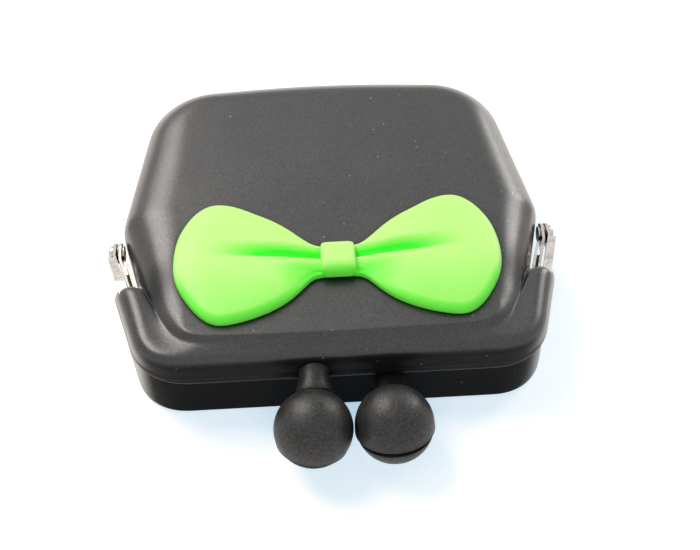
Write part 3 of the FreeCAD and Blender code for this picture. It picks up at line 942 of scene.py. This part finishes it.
rightWing = makeWing(bow)
bpy.ops.object.duplicate()     # the left wing mirrors the right one
bpy.ops.object.mode_set(mode="EDIT")
bpy.ops.mesh.select_all(action="SELECT")
bpy.ops.transform.resize(value=(-1, 1, 1), center_override=(0, 0, 0))
bpy.ops.mesh.flip_normals()
bpy.ops.object.mode_set(mode="OBJECT")
rightWing.select_set(True)
bpy.context.view_layer.objects.active = rightWing
bpy.ops.object.join()
for vertex in rightWing.data.vertices:
    x, y, z = vertex.co
    vertex.co = at(bow["x"] + x, bow["y"] + y, bow["base"] + z)
dress(rightWing, lime)

bowKnot = {
    "size": (7.8, 8.8, 4.0), "shift": -1.1, "base": 21.5,
    "bevel": 1.3, "segments": 3, "cuts": 2, "arch": 0.55,
    "frontSide": (0.35, 1.0), "frontTone": 0.65, "lowSide": (0.3, 0.9), "lowTone": 0.7,     # painted shade on the knot's front and low sides, as on the bow
}


def makeKnot(look):
    bpy.ops.object.select_all(action="DESELECT")
    bpy.ops.mesh.primitive_cube_add(size=1)
    piece = bpy.context.object
    piece.name = "bowKnot"
    piece.data.name = "bowKnot"
    bpy.ops.object.mode_set(mode="EDIT")
    bpy.ops.mesh.select_all(action="SELECT")
    bpy.ops.transform.resize(value=look["size"])
    bpy.ops.transform.translate(value=(0, 0, look["size"][2] / 2))
    bpy.ops.mesh.bevel(offset=look["bevel"], segments=look["segments"], affect="EDGES")
    bpy.ops.mesh.select_all(action="SELECT")
    bpy.ops.mesh.subdivide(number_cuts=look["cuts"])
    leaveEdit(piece, 1)
    foldShade = piece.data.attributes.new("foldShade", "FLOAT", "POINT")
    length, height = look["size"][1:]
    for vertex in piece.data.vertices:
        x, y, z = vertex.co
        along = y / (length / 2)
        vertex.co.z -= look["arch"] * along ** 2 * z / height
        # painted shade: the knot's front and low sides are painted a deeper green
        front = eased(*look["frontSide"], -along)
        low = 1 - eased(*look["lowSide"], z / height)
        foldShade.data[vertex.index].value = max(look["frontTone"] * front, look["lowTone"] * low)
        vertex.co = at(bow["x"] + x, bow["y"] + look["shift"] + y, look["base"] + vertex.co.z)
    return piece


knot = makeKnot(bowKnot)
dress(knot, lime)
print("bow", len(rightWing.data.polygons), len(knot.data.polygons))

# What moves with what.
hinge = Vector((0, hingeY, 12.5 * millimetre))
bendWay = Vector((0, -0.515, 0.857)).normalized()
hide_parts("front_flap_shell", "front_flex_web", "front_pocket_shell")
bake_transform(frontPouch, "pouch", "front_half", start=hinge - bendWay * 3 * millimetre,
         end=hinge + bendWay * 4.9 * millimetre)
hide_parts("back_shell")
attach(backPouch, "pouch")
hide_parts("front_ball")
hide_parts("back_ball")
rootY = claspBall["rimFace"]
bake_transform(frontBall, "front_half", "front_clasp", start=at(claspBall["front"]["x"], rootY - 0.2, 14.9),
         end=at(claspBall["front"]["x"], rootY - 3.4, 13.7))
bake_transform(backBall, "pouch", "back_clasp", start=at(claspBall["back"]["x"], rootY - 0.2, 10.1),
         end=at(claspBall["back"]["x"], rootY - 3.4, 10.1))
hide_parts("bow_wings")
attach(rightWing, "front_half")
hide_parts("bow_knot")
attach(knot, "front_half")

steelNodes = ["front_frame", "back_frame", "left_rivet", "right_rivet", "left_washer", "right_washer",
              "front_clasp_post", "back_clasp_post"]
for nodeName in steelNodes:
    steel = frame["nodes"][nodeName]
    steel.data.materials.clear()
    steel.data.materials.append(nickel)
print("steel nodes", len(steelNodes))

studio = {
    "floorSize": 8, "floorGlow": (0.42, 0.60, 0.74), "floorPaint": (0.90, 0.69, 0.50), "bounce": 0.8,
    "world": 0.2, "aim": (0, -0.01, 0.01),
    "lights": [
        {"name": "backLight", "place": (0.0, 0.545, 0.65), "along": (1, 0, 0), "size": (0.55, 0.45),
         "watts": 0.3, "colour": (0.97, 0.99, 1), "mirrored": True},
        {"name": "leftLight", "place": (-0.372, 0.38, 0.588), "along": (0.0, -0.33, 0.19),
         "size": (0.62, 0.38), "watts": 5.4, "colour": (1, 0.93, 0.86), "mirrored": True},
        {"name": "rightLight", "place": (0.56, 0.488, 0.296), "along": (-0.08, -0.31, 0.35),
         "size": (0.46, 0.26), "watts": 2.5, "colour": (1, 0.98, 0.93), "mirrored": True},
        {"name": "frontLight", "place": (0.0, -0.78, 0.45), "along": (1, 0, 0), "size": (0.8, 0.5),
         "watts": 3.8, "colour": (1, 1, 1), "mirrored": False},
    ],
}


# 1 for what the camera, a mirror or glass shows, and 0 for scattered light.
def shownRays(tree):
    rays = tree.nodes.new("ShaderNodeLightPath").outputs
    shown = mathNode(tree, "MAXIMUM", rays["Is Camera Ray"], rays["Is Glossy Ray"])
    return mathNode(tree, "MAXIMUM", shown, rays["Is Transmission Ray"])


def diffuseNode(tree, colour):
    diffuse = tree.nodes.new("ShaderNodeBsdfDiffuse")
    diffuse.inputs["Color"].default_value = (*colour, 1)
    return diffuse.outputs["BSDF"]


def makeFloor(look):
    bpy.ops.object.select_all(action="DESELECT")
    bpy.ops.mesh.primitive_plane_add(size=look["floorSize"], location=(0, 0, 0))
    floor = bpy.context.object
    floor.name = "floor"
    material = bpy.data.materials.new("floorPaper")
    material.use_nodes = True
    tree = material.node_tree
    tree.nodes.clear()
    glow = tree.nodes.new("ShaderNodeEmission")
    glow.inputs["Color"].default_value = (*look["floorGlow"], 1)
    both = tree.nodes.new("ShaderNodeAddShader")
    tree.links.new(glow.outputs["Emission"], both.inputs[0])
    tree.links.new(diffuseNode(tree, look["floorPaint"]), both.inputs[1])
    pick = tree.nodes.new("ShaderNodeMixShader")
    tree.links.new(shownRays(tree), pick.inputs["Fac"])
    tree.links.new(diffuseNode(tree, grey(look["bounce"])), pick.inputs[1])
    tree.links.new(both.outputs["Shader"], pick.inputs[2])
    output = tree.nodes.new("ShaderNodeOutputMaterial")
    tree.links.new(pick.outputs["Shader"], output.inputs["Surface"])
    floor.data.materials.append(material)


def makeWorld(look):
    world = bpy.data.worlds.new("studioWorld")
    world.use_nodes = True
    scene.world = world
    tree = world.node_tree
    background = tree.nodes["Background"]
    level = rangeNode(tree, shownRays(tree), (look["world"], 1))
    tree.links.new(level, background.inputs["Strength"])
    background.inputs["Color"].default_value = (1, 1, 1, 1)


# Turn of an object whose own axes point along three directions.
def turnTo(*axes):
    return Matrix(axes).transposed().to_euler()


def makeLights(look):
    for entry in look["lights"]:
        bpy.ops.object.light_add(type="AREA", location=entry["place"])
        light = bpy.context.object
        light.name = entry["name"]
        light.data.shape = "RECTANGLE"
        light.data.size, light.data.size_y = entry["size"]
        light.data.energy = entry["watts"]
        light.data.color = entry["colour"]
        light.visible_glossy = entry["mirrored"]
        away = (Vector(entry["place"]) - Vector(look["aim"])).normalized()
        along = Vector(entry["along"])
        along = (along - away * along.dot(away)).normalized()
        light.rotation_euler = turnTo(along, away.cross(along), away)


photoCamera = {
    "azimuth": -4.24, "elevation": 50.0, "roll": 0.42, "distance": 279.5, "target": (3.4, -9.9, 12.5),
    "focalPixels": 1200, "imageWidth": 700, "sensor": 36.0, "clip": (0.01, 20),
}


def makeCamera(look):
    azimuth, elevation, roll = (math.radians(look[key]) for key in ("azimuth", "elevation", "roll"))
    level = math.cos(elevation)
    back = Vector((math.sin(azimuth) * level, -math.cos(azimuth) * level, math.sin(elevation)))
    right = (-back).cross(Vector((0, 0, 1))).normalized()
    up = back.cross(right)
    rolledRight = right * math.cos(roll) + up * math.sin(roll)
    rolledUp = up * math.cos(roll) - right * math.sin(roll)
    place = at(*look["target"]) + back * look["distance"] * millimetre
    bpy.ops.object.camera_add(location=place)
    camera = bpy.context.object
    camera.name = "photoCamera"
    camera.rotation_euler = turnTo(rolledRight, rolledUp, back)
    camera.data.sensor_fit = "HORIZONTAL"
    camera.data.sensor_width = look["sensor"]
    camera.data.lens = look["focalPixels"] / look["imageWidth"] * look["sensor"]
    camera.data.clip_start, camera.data.clip_end = look["clip"]
    scene.camera = camera


makeFloor(studio)
makeWorld(studio)
makeLights(studio)
makeCamera(photoCamera)
print("floor, lights and camera ready")
